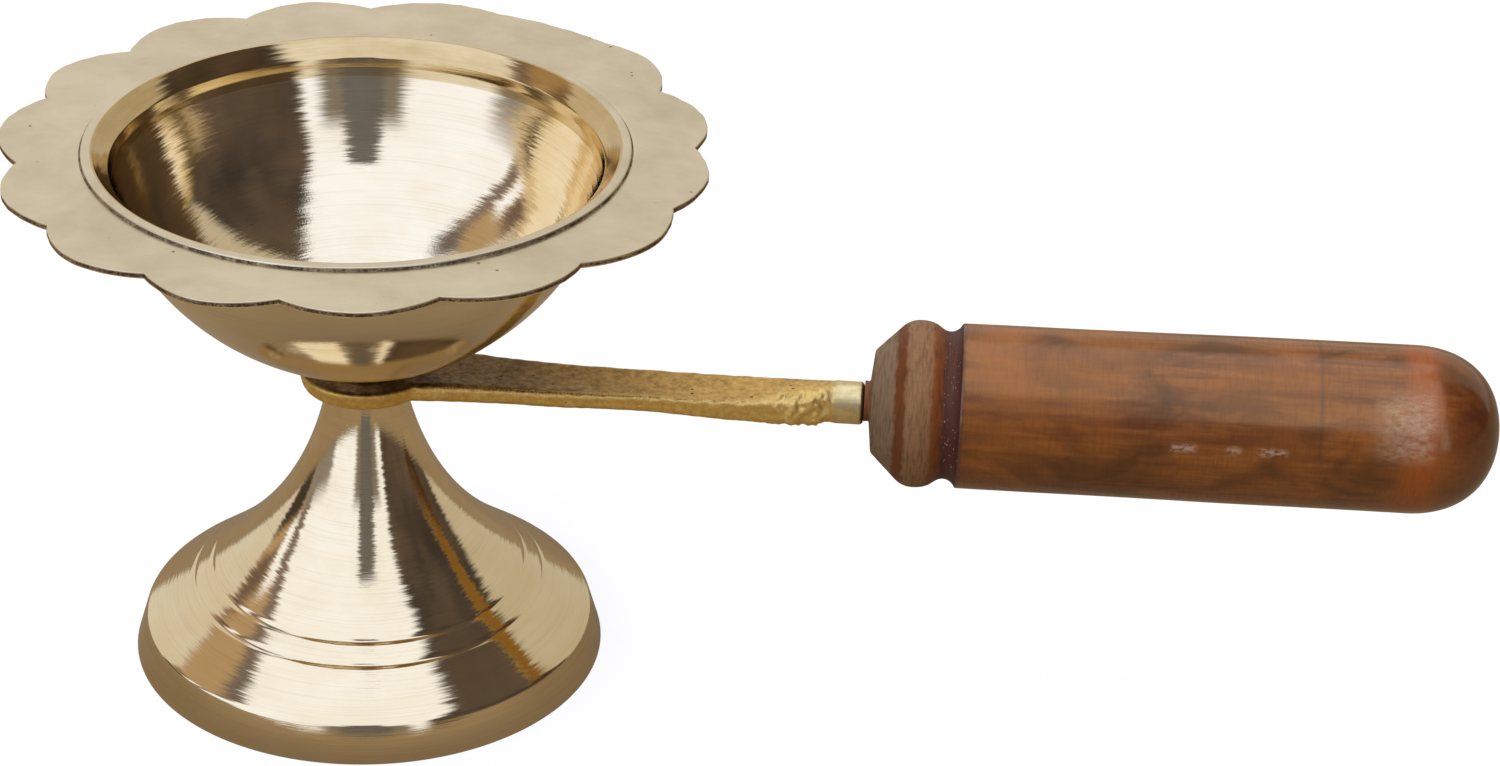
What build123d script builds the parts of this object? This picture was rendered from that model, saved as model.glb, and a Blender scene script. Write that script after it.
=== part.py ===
import os

from build123d import *

# Aarti lamp: a bowl and a bell foot screwed together over a cast arm with a wooden handle.
# Millimetres. The lamp's axis is Z, the foot stands on z = 0, and the arm points along +X.

# Bell foot
FOOT_RADIUS = 36.2
BAND_HEIGHT = 5.8
BAND_TOP_RADIUS = 34.5
STEM_HEIGHT = 45.4
STEM_RADIUS = 5.8
STEM_FLARE_RADIUS = 9.6
STEM_FLARE_DROP = 21.2
SKIRT_REACH = 12.5
SKIRT_RISE = 9.5
GROOVE_HEIGHTS = (11.6, 14.0)
GROOVE_RADIUS = 0.35
FOOT_WALL = 2.4
HOLLOW_SHARE = 0.58
HALVINGS = 40
INSET_STEPS = 8

# Stud and its thread
STUD_RADIUS = 3.0
STUD_IN_FOOT = 13.5
STUD_IN_BOWL = 4.2
TAP_CLEARANCE = 0.04
TAP_RUNOUT = 1.5
STUD_CHAMFER = 0.5
HOLE_END_GAP = 0.5

# Cast arm
EYE_RADIUS = 10.3
EYE_DRAFT = 0.8
EYE_THICKNESS = 2.9
EYE_CLEARANCE = 0.08
EYE_ROUND = 0.5
BAR_START = 5.5
BAR_START_SIZE = (13.2, 2.6)
BAR_FLAT_LENGTH = 30.5
BAR_MIDDLE_SIZE = (9.4, 2.7)
BAR_TAPER_LENGTH = 25.0
BAR_NECK_SIZE = (7.4, 4.0)
BAR_NECK_LENGTH = 10.0
BAR_END_SIZE = (6.3, 6.2)
BAR_CORNER_SHARE = 0.3
NECK_CORNER_SHARE = 0.35
END_CORNER_SHARE = 0.48
COLLAR_LENGTH = 4.3
COLLAR_RADIUS = 3.25
COLLAR_CHAMFER = 0.4

# Tang rod
TANG_RADIUS = 2.0
TANG_IN_COLLAR = 5.3
TANG_IN_WOOD = 44.0
TANG_CLEARANCE = 0.04

# Wooden handle, its turned stretches in order from the collar
NIB_LENGTH = 0.8
NIB_RADIUS = 3.1
FACE_LENGTH = 0.5
FACE_RADIUS = 7.7
SHOULDER_LENGTH = 3.9
SHOULDER_DROP = 1.1
BEAD_RISE_LENGTH = 2.8
BEAD_RADIUS = 12.6
BEAD_FALL_LENGTH = 4.4
COVE_DEPTH = 1.5
COVE_RISE_LENGTH = 1.8
BODY_START_RADIUS = 12.4
BODY_LENGTH = 67.5
BODY_END_RADIUS = 12.65
DOME_LENGTH = 13.0
DOME_FULLNESS_SHARE = 0.62

# Bowl
PAD_RADIUS = 6.6
PAD_HEIGHT = 2.4
BELLY_REACH = 7.5
BELLY_PULL = 14.6
WAIST_RADIUS = 35.1
WAIST_HEIGHT = 24.2
WAIST_SLOPE = 17.8
BOWL_HEIGHT = 34.2
BOWL_WALL = 1.5
WALL_JOIN_SHARE = 0.2
WALL_END_SHARE = 0.96
WALL_SLOPE = 19.5
FLOOR_OVER_STUD = 1.1
NECK_FLARE = 0.65
STEP_WIDTH = 0.35
STEP_DEPTH = 1.5
BEVEL_WIDTH = 2.3
BEVEL_DEPTH = 2.5
LIP_WIDTH = 1.6
LIP_HEIGHT = 0.5
FLARE_REACH = 6.0
FLARE_TENSION = 4.5
FLARE_END_SLOPE = 0.1
FLANGE_ROOT_THICKNESS = 1.5
FLANGE_EDGE_THICKNESS = 0.9
LOBE_COUNT = 15
RIM_WIDTH = 9.5
LOBE_DEPTH = 3.0
LOBE_TURN = 3.0
BLANK_MARGIN = 1.0

# Heights, radii and distances that follow
EYE_TOP = STEM_HEIGHT + EYE_THICKNESS
ARM_HEIGHT = STEM_HEIGHT + EYE_THICKNESS / 2
BAR_MIDDLE = BAR_START + BAR_FLAT_LENGTH
BAR_NECK = BAR_MIDDLE + BAR_TAPER_LENGTH
COLLAR_START = BAR_NECK + BAR_NECK_LENGTH
COLLAR_END = COLLAR_START + COLLAR_LENGTH
PAD_TOP = EYE_TOP + PAD_HEIGHT
STUD_HOLE_TOP = EYE_TOP + STUD_IN_BOWL + HOLE_END_GAP
LIP_TOP = PAD_TOP + BOWL_HEIGHT
FLANGE_TOP = LIP_TOP - LIP_HEIGHT
NECK_RADIUS = WAIST_RADIUS + NECK_FLARE
STEP_RADIUS = NECK_RADIUS + STEP_WIDTH
MOUTH_RADIUS = STEP_RADIUS + BEVEL_WIDTH
LIP_FOOT_RADIUS = MOUTH_RADIUS + LIP_WIDTH
LOBE_NOTCH_RADIUS = LIP_FOOT_RADIUS + RIM_WIDTH
LOBE_PEAK_RADIUS = LOBE_NOTCH_RADIUS + LOBE_DEPTH


def turned(outline):
    """Solid turned about the lamp's axis from an outline of (radius, height) edges."""
    return revolve(Plane.XZ * make_face(outline), Axis.Z)


def rod(radius, low, high):
    """Upright cylinder on the lamp's axis between two heights."""
    return Pos(0, 0, low) * Cylinder(radius, high - low, align=(Align.CENTER, Align.CENTER, Align.MIN))


def arm_rod(radius, near, far):
    """Cylinder on the arm's axis between two distances from the lamp's axis."""
    along = Plane(origin=(near, 0, ARM_HEIGHT), z_dir=(1, 0, 0))
    return along * Cylinder(radius, far - near, align=(Align.CENTER, Align.CENTER, Align.MIN))


def bell_curve():
    """Outside of the bell from the stem's top down to the band, in (radius, height)."""
    return Bezier(
        (STEM_RADIUS, STEM_HEIGHT),
        (STEM_FLARE_RADIUS, STEM_HEIGHT - STEM_FLARE_DROP),
        (BAND_TOP_RADIUS - SKIRT_REACH, BAND_HEIGHT + SKIRT_RISE),
        (BAND_TOP_RADIUS, BAND_HEIGHT),
    )


def bell_radius(curve, height):
    """Radius of the bell's outside at a height, by halving the curve."""
    upper = 0.0
    lower = 1.0
    for _ in range(HALVINGS):
        middle = (upper + lower) / 2
        if curve.position_at(middle).Y > height:
            upper = middle
        else:
            lower = middle
    return curve.position_at(upper).X


def inset(curve, wall, first, last):
    """Points of a curve moved by the wall to the right of its direction, between two places on it."""
    points = []
    for step in range(INSET_STEPS + 1):
        place = first + (last - first) * step / INSET_STEPS
        along = curve.tangent_at(place)
        points.append(curve.position_at(place) + Vector(along.Y, -along.X) * wall)
    return points


def make_bell_foot():
    curve = bell_curve()
    outside = turned(
        [
            Polyline((STEM_RADIUS, STEM_HEIGHT), (0, STEM_HEIGHT), (0, 0), (FOOT_RADIUS, 0)),
            Line((FOOT_RADIUS, 0), (BAND_TOP_RADIUS, BAND_HEIGHT)),
            curve,
        ]
    )
    inside = Spline(*inset(curve, FOOT_WALL, 1, 1 - HOLLOW_SHARE))
    mouth = inside @ 0
    crown = inside @ 1
    hollow = turned(
        [
            Polyline(crown, (0, crown.Y), (0, 0), (FOOT_RADIUS - FOOT_WALL, 0), mouth),
            inside,
        ]
    )
    foot = outside - hollow
    for height in GROOVE_HEIGHTS:
        groove = Torus(bell_radius(curve, height), GROOVE_RADIUS)
        foot -= Pos(0, 0, height) * groove
    tap_bottom = STEM_HEIGHT - STUD_IN_FOOT - TAP_RUNOUT
    return foot - rod(STUD_RADIUS + TAP_CLEARANCE, tap_bottom, STEM_HEIGHT)


def make_bowl_stud():
    stud = rod(STUD_RADIUS, STEM_HEIGHT - STUD_IN_FOOT, EYE_TOP + STUD_IN_BOWL)
    ends = stud.edges().filter_by(GeomType.CIRCLE)
    return chamfer(ends, STUD_CHAMFER)


def bar_section(distance, size, corner_share):
    """Rounded cross-section of the arm's bar at a distance from the lamp's axis."""
    across = Plane(origin=(distance, 0, ARM_HEIGHT), x_dir=(0, 1, 0), z_dir=(1, 0, 0))
    width, thickness = size
    return across * RectangleRounded(width, thickness, corner_share * thickness)


def make_handle_arm():
    eye = turned(
        [
            Polyline((0, EYE_TOP), (0, STEM_HEIGHT), (EYE_RADIUS - EYE_DRAFT, STEM_HEIGHT)),
            Polyline((EYE_RADIUS - EYE_DRAFT, STEM_HEIGHT), (EYE_RADIUS, EYE_TOP), (0, EYE_TOP)),
        ]
    )
    eye = fillet(eye.edges().filter_by(GeomType.CIRCLE), EYE_ROUND)
    bar = loft(
        [
            bar_section(BAR_START, BAR_START_SIZE, BAR_CORNER_SHARE),
            bar_section(BAR_MIDDLE, BAR_MIDDLE_SIZE, BAR_CORNER_SHARE),
            bar_section(BAR_NECK, BAR_NECK_SIZE, NECK_CORNER_SHARE),
            bar_section(COLLAR_START, BAR_END_SIZE, END_CORNER_SHARE),
        ]
    )
    collar = arm_rod(COLLAR_RADIUS, COLLAR_START, COLLAR_END)
    collar = chamfer(collar.edges().filter_by(GeomType.CIRCLE).sort_by(Axis.X)[-1], COLLAR_CHAMFER)
    arm = eye + bar + collar
    arm -= rod(STUD_RADIUS + EYE_CLEARANCE, STEM_HEIGHT - EYE_THICKNESS, EYE_TOP + EYE_THICKNESS)
    socket_end = COLLAR_END - TANG_IN_COLLAR - HOLE_END_GAP
    return arm - arm_rod(TANG_RADIUS + TANG_CLEARANCE, socket_end, COLLAR_END)


def make_handle_tang():
    return arm_rod(TANG_RADIUS, COLLAR_END - TANG_IN_COLLAR, COLLAR_END + TANG_IN_WOOD)


def make_wooden_handle():
    face = NIB_LENGTH + FACE_LENGTH
    shoulder = face + SHOULDER_LENGTH
    bead = shoulder + BEAD_RISE_LENGTH
    cove = bead + BEAD_FALL_LENGTH
    body = cove + COVE_RISE_LENGTH
    dome = body + BODY_LENGTH
    tip = dome + DOME_LENGTH
    shoulder_radius = BEAD_RADIUS - SHOULDER_DROP
    cove_radius = BEAD_RADIUS - COVE_DEPTH
    cone_end = shoulder + SHOULDER_DROP * SHOULDER_LENGTH / (shoulder_radius - FACE_RADIUS)
    halfway = (bead + cove) / 2
    outline = [
        Polyline((tip, 0), (0, 0), (0, NIB_RADIUS), (NIB_LENGTH, NIB_RADIUS), (face, FACE_RADIUS)),
        Line((face, FACE_RADIUS), (shoulder, shoulder_radius)),
        Bezier((shoulder, shoulder_radius), (cone_end, BEAD_RADIUS), (bead, BEAD_RADIUS)),
        Bezier((bead, BEAD_RADIUS), (halfway, BEAD_RADIUS), (halfway, cove_radius), (cove, cove_radius)),
        TangentArc((cove, cove_radius), (body, BODY_START_RADIUS), tangent=(1, 0)),
        Line((body, BODY_START_RADIUS), (dome, BODY_END_RADIUS)),
        Bezier(
            (dome, BODY_END_RADIUS),
            (dome + DOME_FULLNESS_SHARE * DOME_LENGTH, BODY_END_RADIUS),
            (tip, DOME_FULLNESS_SHARE * BODY_END_RADIUS),
            (tip, 0),
        ),
    ]
    blank = revolve(Plane.XZ * make_face(outline), Axis.X)
    handle = Pos(COLLAR_END, 0, ARM_HEIGHT) * blank
    bore_end = COLLAR_END + TANG_IN_WOOD + HOLE_END_GAP
    return handle - arm_rod(TANG_RADIUS + TANG_CLEARANCE, COLLAR_END, bore_end)


def leaning(slope):
    """Unit direction in (radius, height) that leans outward from upright by a slope in degrees."""
    return Vector(0, 1).rotate(Axis.Z, -slope)


def belly_curve():
    """Outside of the bowl from its waist down to the pad, in (radius, height)."""
    waist = Vector(WAIST_RADIUS, PAD_TOP + WAIST_HEIGHT)
    return Bezier(
        waist,
        waist - leaning(WAIST_SLOPE) * BELLY_PULL,
        (PAD_RADIUS + BELLY_REACH, PAD_TOP),
        (PAD_RADIUS, PAD_TOP),
    )


def scalloped_plate():
    """Plate with the rim's lobes as its outline, tall enough to hold the whole bowl."""
    pitch = 360 / LOBE_COUNT
    lobes = []
    for lobe in range(LOBE_COUNT):
        start = LOBE_TURN + lobe * pitch
        lobes.append(
            ThreePointArc(
                Vector(LOBE_NOTCH_RADIUS, 0).rotate(Axis.Z, start),
                Vector(LOBE_PEAK_RADIUS, 0).rotate(Axis.Z, start + pitch / 2),
                Vector(LOBE_NOTCH_RADIUS, 0).rotate(Axis.Z, start + pitch),
            )
        )
    return extrude(make_face(lobes), LIP_TOP)


def make_bowl_blank(belly):
    """The bowl's outside with its flared rim, still solid inside and round at its edge."""
    blank_radius = LOBE_PEAK_RADIUS + BLANK_MARGIN
    waist = belly @ 0
    root = (LIP_FOOT_RADIUS + FLARE_REACH, FLANGE_TOP - FLANGE_ROOT_THICKNESS)
    flare = Bezier(
        waist,
        waist + leaning(WAIST_SLOPE) * FLARE_TENSION,
        (root[0] - FLARE_TENSION, root[1] - FLARE_END_SLOPE * FLARE_TENSION),
        root,
    )
    rim = Polyline(
        root,
        (blank_radius, FLANGE_TOP - FLANGE_EDGE_THICKNESS),
        (blank_radius, FLANGE_TOP),
        (LIP_FOOT_RADIUS, FLANGE_TOP),
        (LIP_FOOT_RADIUS, LIP_TOP),
        (0, LIP_TOP),
        (0, EYE_TOP),
        (PAD_RADIUS, EYE_TOP),
        (PAD_RADIUS, PAD_TOP),
    )
    return turned([rim, belly, flare])


def make_bowl_cavity(belly):
    """The space in the bowl: one wall in from the belly, then the neck, a step and the bevel to the lip."""
    bevel_foot = Vector(STEP_RADIUS, LIP_TOP - BEVEL_DEPTH)
    neck = Vector(NECK_RADIUS, bevel_foot.Y - STEP_DEPTH)
    wall = Spline(
        neck,
        *inset(belly, BOWL_WALL, WALL_JOIN_SHARE, WALL_END_SHARE),
        tangents=(-leaning(WALL_SLOPE), belly % WALL_END_SHARE),
    )
    low = wall @ 1
    mouth = Polyline(low, (0, low.Y), (0, LIP_TOP), (MOUTH_RADIUS, LIP_TOP), bevel_foot, neck)
    floor = STUD_HOLE_TOP + FLOOR_OVER_STUD
    return turned([mouth, wall]) & rod(LOBE_PEAK_RADIUS, floor, LIP_TOP)


def make_bowl():
    belly = belly_curve()
    bowl = make_bowl_blank(belly) & scalloped_plate()
    bowl -= make_bowl_cavity(belly)
    return bowl - rod(STUD_RADIUS + TAP_CLEARANCE, EYE_TOP, STUD_HOLE_TOP)


PIECES = {
    "bell_foot": make_bell_foot(),
    "bowl_stud": make_bowl_stud(),
    "handle_arm": make_handle_arm(),
    "handle_tang": make_handle_tang(),
    "wooden_handle": make_wooden_handle(),
    "bowl": make_bowl(),
}

os.makedirs("parts", exist_ok=True)
for name, piece in PIECES.items():
    export_step(piece, f"parts/{name}.step")
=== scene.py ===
import math

import bpy
from mathutils import Matrix, Vector, noise


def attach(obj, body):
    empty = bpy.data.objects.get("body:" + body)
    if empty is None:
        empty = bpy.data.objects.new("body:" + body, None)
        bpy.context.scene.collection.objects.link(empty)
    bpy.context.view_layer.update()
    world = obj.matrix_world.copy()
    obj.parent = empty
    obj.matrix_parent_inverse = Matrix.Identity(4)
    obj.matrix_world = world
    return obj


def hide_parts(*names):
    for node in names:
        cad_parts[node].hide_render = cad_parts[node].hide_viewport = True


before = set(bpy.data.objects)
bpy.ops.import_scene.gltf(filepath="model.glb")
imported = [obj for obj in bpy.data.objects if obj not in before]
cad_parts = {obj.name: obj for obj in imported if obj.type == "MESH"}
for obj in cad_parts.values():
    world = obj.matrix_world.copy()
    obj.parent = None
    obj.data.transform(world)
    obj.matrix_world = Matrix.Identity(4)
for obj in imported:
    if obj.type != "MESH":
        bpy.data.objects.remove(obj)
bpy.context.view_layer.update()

# One millimetre in the frame's metres
MM = 0.001

# Sizes shared with the solids, in millimetres
STEM_HEIGHT = 45.4
EYE_TOP = 48.3
ARM_HEIGHT = 46.85
STUD_RADIUS = 3.0
TAP_RADIUS = 3.04
COLLAR_END = 75.3
BORE_RADIUS = 2.04


# Small shapes and curves

def smooth(low, high, x):
    """0 below low, 1 above high, with soft ends."""
    t = min(1.0, max(0.0, (x - low) / (high - low)))
    return t * t * (3 - 2 * t)


def along(table, x):
    """Value at x from a short table of (x, value) stations."""
    if x <= table[0][0]:
        return table[0][1]
    for (xa, a), (xb, b) in zip(table, table[1:]):
        if x <= xb:
            return a + (b - a) * (x - xa) / (xb - xa)
    return table[-1][1]


def bezier(a, b, c, d, steps):
    """Points of a cubic from a to d, both ends included."""
    out = []
    for i in range(steps + 1):
        t = i / steps
        u = 1 - t
        out.append(tuple(
            u**3 * p + 3 * u * u * t * q + 3 * u * t * t * r + t**3 * s
            for p, q, r, s in zip(a, b, c, d)
        ))
    return out


def arc(centre, radius, start, end, steps):
    """Points of a circle's arc in a profile plane, angles in degrees."""
    out = []
    for i in range(steps + 1):
        a = math.radians(start + (end - start) * i / steps)
        out.append((centre[0] + radius * math.cos(a), centre[1] + radius * math.sin(a)))
    return out


def straight(a, b, steps):
    """Points of a line from a to b, both ends included."""
    out = []
    for i in range(steps + 1):
        t = i / steps
        out.append((a[0] + (b[0] - a[0]) * t, a[1] + (b[1] - a[1]) * t))
    return out


def eased(corners, steps=4):
    """Polyline whose corners, given as (r, z, cut), are rounded by that cut."""
    out = []
    for i, (x, y, cut) in enumerate(corners):
        if cut == 0:
            out.append((x, y))
            continue
        ends = []
        for other in (corners[i - 1], corners[i + 1]):
            length = math.hypot(other[0] - x, other[1] - y)
            k = min(0.5, cut / length)
            ends.append((x + (other[0] - x) * k, y + (other[1] - y) * k))
        for j in range(steps + 1):
            t = j / steps
            u = 1 - t
            out.append((
                u * u * ends[0][0] + 2 * u * t * x + t * t * ends[1][0],
                u * u * ends[0][1] + 2 * u * t * y + t * t * ends[1][1],
            ))
    return out


def sunk(points, depth):
    """Profile points moved in along their normals by depth(z)."""
    out = []
    for i, (r, z) in enumerate(points):
        a = points[max(0, i - 1)]
        b = points[min(len(points) - 1, i + 1)]
        k = depth(z) / math.dist(a, b)
        out.append((r - k * (a[1] - b[1]), z - k * (b[0] - a[0])))
    return out


def joined(*runs):
    """One list of points, without the doubled ones where runs meet."""
    out = []
    for run in runs:
        for p in run:
            if not out or math.dist(p, out[-1]) > 1e-5:
                out.append(p)
    return out


def leaning(lean, length):
    """A step of some length in a profile plane, leaning out from upright by an angle."""
    return (length * math.sin(lean), length * math.cos(lean))


def upright(r, z, angle):
    """Point of a piece turned about the lamp's axis."""
    return Vector((r * math.cos(angle), r * math.sin(angle), z))


def lying(r, x, angle):
    """Point of a piece turned about the arm's axis."""
    return Vector((x, -r * math.sin(angle), ARM_HEIGHT + r * math.cos(angle)))


def linked(name, data):
    """New object of some data, in the scene."""
    obj = bpy.data.objects.new(name, data)
    bpy.context.scene.collection.objects.link(obj)
    return obj


def finished(name, mesh, sharp=40):
    """Object of a mesh, shaded smooth except across edges sharper than an angle in degrees."""
    mesh.update()
    mesh.validate()
    mesh.shade_smooth()
    mesh.set_sharp_from_angle(angle=math.radians(sharp))
    return linked(name, mesh)


def lathe(name, profile, segments, place, slots):
    """Closed turned mesh from a profile that starts and ends on the axis.

    place(r, z, angle) gives the point in millimetres; slots(i) the material slot of profile step i.
    """
    verts = []
    rings = []
    for r, z in profile:
        if r < 1e-6:
            rings.append([len(verts)])
            verts.append(place(0.0, z, 0.0) * MM)
            continue
        rings.append(list(range(len(verts), len(verts) + segments)))
        for j in range(segments):
            verts.append(place(r, z, 2 * math.pi * j / segments) * MM)
    faces = []
    marks = []
    for i, (low, high) in enumerate(zip(rings, rings[1:])):
        for j in range(segments):
            k = (j + 1) % segments
            if len(low) == 1:
                face = (low[0], high[k], high[j])
            elif len(high) == 1:
                face = (low[j], low[k], high[0])
            else:
                face = (low[j], low[k], high[k], high[j])
            faces.append(face)
            marks.append(slots(i))
    mesh = bpy.data.meshes.new(name)
    mesh.from_pydata(verts, [], faces)
    mesh.polygons.foreach_set("material_index", marks)
    return finished(name, mesh)


def marked(mesh, name, values):
    """Keeps one value for each point of a mesh, for its material to read."""
    mesh.attributes.new(name, "FLOAT", "POINT").data.foreach_set("value", values)


# Materials

class Graph:
    """A node tree with short calls for the nodes used here."""

    def __init__(self, name, world=None):
        self.owner = world or bpy.data.materials.new(name)
        self.owner.use_nodes = True
        self.tree = self.owner.node_tree
        self.tree.nodes.clear()

    def add(self, kind, props=None, inputs=None):
        n = self.tree.nodes.new("ShaderNode" + kind)
        for key, value in (props or {}).items():
            setattr(n, key, value)
        for key, value in (inputs or {}).items():
            self.feed(n.inputs[key], value)
        return n

    def feed(self, socket, value):
        if isinstance(value, bpy.types.NodeSocket):
            self.tree.links.new(value, socket)
        elif isinstance(value, tuple) and socket.type == "RGBA":
            socket.default_value = (*value, 1.0)
        else:
            socket.default_value = value

    def math(self, op, a, b=0.0):
        return self.add("Math", {"operation": op}, {0: a, 1: b}).outputs[0]

    def times(self, a, b):
        return self.math("MULTIPLY", a, b)

    def plus(self, a, b):
        return self.math("ADD", a, b)

    def mix(self, fac, a, b):
        return self.add("Mix", {"data_type": "RGBA"}, {0: fac, 6: a, 7: b}).outputs[2]

    def ramp(self, fac, stops):
        n = self.add("ValToRGB", None, {0: fac})
        while len(n.color_ramp.elements) < len(stops):
            n.color_ramp.elements.new(1.0)
        for e, (at, colour) in zip(n.color_ramp.elements, stops):
            e.position = at
            e.color = (*colour, 1.0)
        return n.outputs[0]

    def range(self, x, a, b, c=0.0, d=1.0):
        return self.add("MapRange", {"clamp": True}, {0: x, 1: a, 2: b, 3: c, 4: d}).outputs[0]

    def between(self, x, low, high, soft):
        """1 between two values, fading to 0 over a soft width at each."""
        rise = self.range(x, low - soft, low + soft)
        fall = self.range(x, high - soft, high + soft, 1.0, 0.0)
        return self.times(rise, fall)

    def noise(self, vector, scale, detail=2.0, rough=0.5, warp=0.0):
        return self.add("TexNoise", None, {
            "Vector": vector, "Scale": scale, "Detail": detail, "Roughness": rough, "Distortion": warp,
        }).outputs[0]

    def pits(self, place, scale, size, patch_scale, patch):
        """1 in small round pits, which lie only in patches of the surface."""
        cells = self.add("TexVoronoi", None, {"Vector": place, "Scale": scale, "Randomness": 1.0})
        return self.times(
            self.range(cells.outputs["Distance"], *size),
            self.range(self.noise(place, patch_scale, 1.0), *patch))

    def stretched(self, parts, factors):
        """Vector of three values, each times its factor."""
        x, y, z = (self.times(p, k) for p, k in zip(parts, factors))
        return self.add("CombineXYZ", None, {0: x, 1: y, 2: z}).outputs[0]

    def attribute(self, name):
        return self.add("Attribute", {"attribute_name": name}).outputs["Fac"]

    def place(self):
        """Object position in millimetres."""
        metres = self.add("TexCoord").outputs["Object"]
        return self.add("VectorMath", {"operation": "SCALE"}, {0: metres, "Scale": 1 / MM}).outputs[0]

    def parts(self, vector):
        return tuple(self.add("SeparateXYZ", None, {0: vector}).outputs)

    def polar(self, place):
        """Distance from the lamp's axis, height, and the unit direction round it."""
        x, y, z = self.parts(place)
        r = self.math("SQRT", self.plus(self.times(x, x), self.times(y, y)))
        safe = self.math("MAXIMUM", r, 0.01)
        return r, z, self.math("DIVIDE", x, safe), self.math("DIVIDE", y, safe)

    def bump(self, height, distance, under=None):
        """Normal from a height, over a distance in millimetres, on top of another normal if given."""
        inputs = {"Strength": 1.0, "Distance": distance * MM, "Height": height}
        if under is not None:
            inputs["Normal"] = under
        return self.add("Bump", None, inputs).outputs[0]

    def output(self, shader, kind="OutputMaterial"):
        self.tree.links.new(shader.outputs[0], self.add(kind).inputs["Surface"])
        return self.owner

    def surface(self, **sockets):
        shader = self.add("BsdfPrincipled")
        for key, value in sockets.items():
            self.feed(shader.inputs[key.replace("_", " ")], value)
        return self.output(shader)


# Polished brass: plain tone, stained tone, bright tone; then its least and most roughness
FOOT_TONES = ((0.88, 0.74, 0.49), (0.83, 0.67, 0.41), (0.91, 0.79, 0.55))
FOOT_GLOSS = (0.035, 0.09)
BOWL_TONES = ((0.90, 0.77, 0.54), (0.85, 0.70, 0.45), (0.92, 0.81, 0.59))
BOWL_GLOSS = (0.03, 0.08)
BEVEL_TONES = ((0.76, 0.58, 0.31), (0.58, 0.41, 0.18), (0.90, 0.75, 0.47))
BEVEL_GLOSS = (0.05, 0.11)
LINE_SHADE = (0.30, 0.20, 0.10)
BRUSHED = 0.6
CHATTER_LEAN = 0.06
PITTED_BELOW = 70.0
PITTED_FADE = 8.0


def turned_brass(name, sense, tones, gloss, pitted_below=None):
    """Lathe-polished brass. sense is the sign of height in the distance along the profile."""
    g = Graph(name)
    place = g.place()
    r, z, round_x, round_y = g.polar(place)
    s = g.plus(r, g.times(z, sense))

    def rings(across, around, detail, rough):
        """Noise stretched round the axis, by features per millimetre across and per radius around."""
        return g.noise(g.stretched((s, round_x, round_y), (across, around, around)), 1.0, detail, rough)

    fine = rings(3.2, 1.4, 4.0, 0.7)
    chatter = rings(2.2, 3.0, 3.0, 0.6)
    stain = rings(0.12, 2.2, 4.0, 0.6)
    line = rings(2.6, 0.8, 3.0, 0.7)
    plain, stained, bright = tones
    colour = g.mix(g.range(stain, 0.35, 0.7), plain, stained)
    colour = g.mix(g.range(fine, 0.55, 0.8, 0.0, 0.35), colour, bright)
    colour = g.mix(g.range(line, 0.52, 0.68, 0.0, 0.26), colour, g.mix(0.5, colour, LINE_SHADE))
    rough = g.plus(g.range(fine, 0.3, 0.75, *gloss), g.range(stain, 0.5, 0.8, 0.0, 0.05))
    tangent = g.add("Tangent", {"direction_type": "RADIAL", "axis": "Z"}).outputs[0]
    amount = g.range(chatter, 0.0, 1.0, -CHATTER_LEAN, CHATTER_LEAN)
    lean = g.add("VectorMath", {"operation": "SCALE"}, {0: tangent, "Scale": amount}).outputs[0]
    relief = g.bump(fine, 0.006)
    if pitted_below:
        speck = g.noise(place, 2.6, 3.0, 0.65)
        low = g.range(z, pitted_below, pitted_below - PITTED_FADE)
        relief = g.bump(g.times(speck, low), 0.010, relief)
    normal = g.add("VectorMath", {"operation": "ADD"}, {0: relief, 1: lean}).outputs[0]
    return g.surface(
        Base_Color=colour, Metallic=1.0, Roughness=rough, Anisotropic=BRUSHED, Tangent=tangent,
        Normal=g.add("VectorMath", {"operation": "NORMALIZE"}, {0: normal}).outputs[0])


RIM_TONES = ((0.84, 0.73, 0.525), (0.70, 0.595, 0.40))
RIM_PIT = (0.16, 0.10, 0.05)


def satin_brass(name):
    """The rim's buffed top: pale, with faint buffing smears and small pits."""
    g = Graph(name)
    place = g.place()
    cloud = g.noise(place, 0.09, 4.0, 0.6, 0.4)
    smear = g.noise(g.stretched(g.parts(place), (0.25, 1.6, 1.0)), 1.0, 4.0, 0.6, 0.3)
    pitted = g.pits(place, 0.33, (0.09, 0.05), 0.21, (0.55, 0.62))
    colour = g.mix(g.range(cloud, 0.35, 0.7), *RIM_TONES)
    height = g.math("SUBTRACT", g.times(smear, 0.35), pitted)
    return g.surface(
        Base_Color=g.mix(pitted, colour, RIM_PIT), Metallic=1.0,
        Roughness=g.range(smear, 0.3, 0.75, 0.27, 0.40), Normal=g.bump(height, 0.08))


def rough_brass(name, dark, light, scale, low, high):
    """Unfinished cast skin, stained in the hollows: dark below low grain, light above high."""
    g = Graph(name)
    place = g.place()
    grain = g.noise(place, scale, 6.0, 0.65)
    cloud = g.noise(place, 0.28, 3.0, 0.6)
    colour = g.mix(g.range(g.plus(grain, g.times(cloud, 0.6)), low, high), dark, light)
    return g.surface(
        Base_Color=colour, Metallic=0.85, Roughness=g.range(grain, 0.3, 0.7, 0.6, 0.42),
        Normal=g.bump(grain, 0.3 / scale))


# Cast arm: darker and lighter tone of each stretch, and where its top goes from stained with painted shade
# of the bowl to clean
ARM_SIDE = ((0.84, 0.51, 0.125), (0.99, 0.74, 0.24))
# Top near the bowl: its stain darkened by painted shade of the bowl over it
ARM_TOP_NEAR_SHADED = ((0.115, 0.066, 0.024), (0.28, 0.175, 0.058))
ARM_TOP_FAR = ((0.50, 0.29, 0.078), (0.86, 0.54, 0.16))
ARM_TOP_SHADE_FADE = (22.0, 52.0)
ARM_FILED = ((0.72, 0.56, 0.26), (0.87, 0.71, 0.36))
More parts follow.
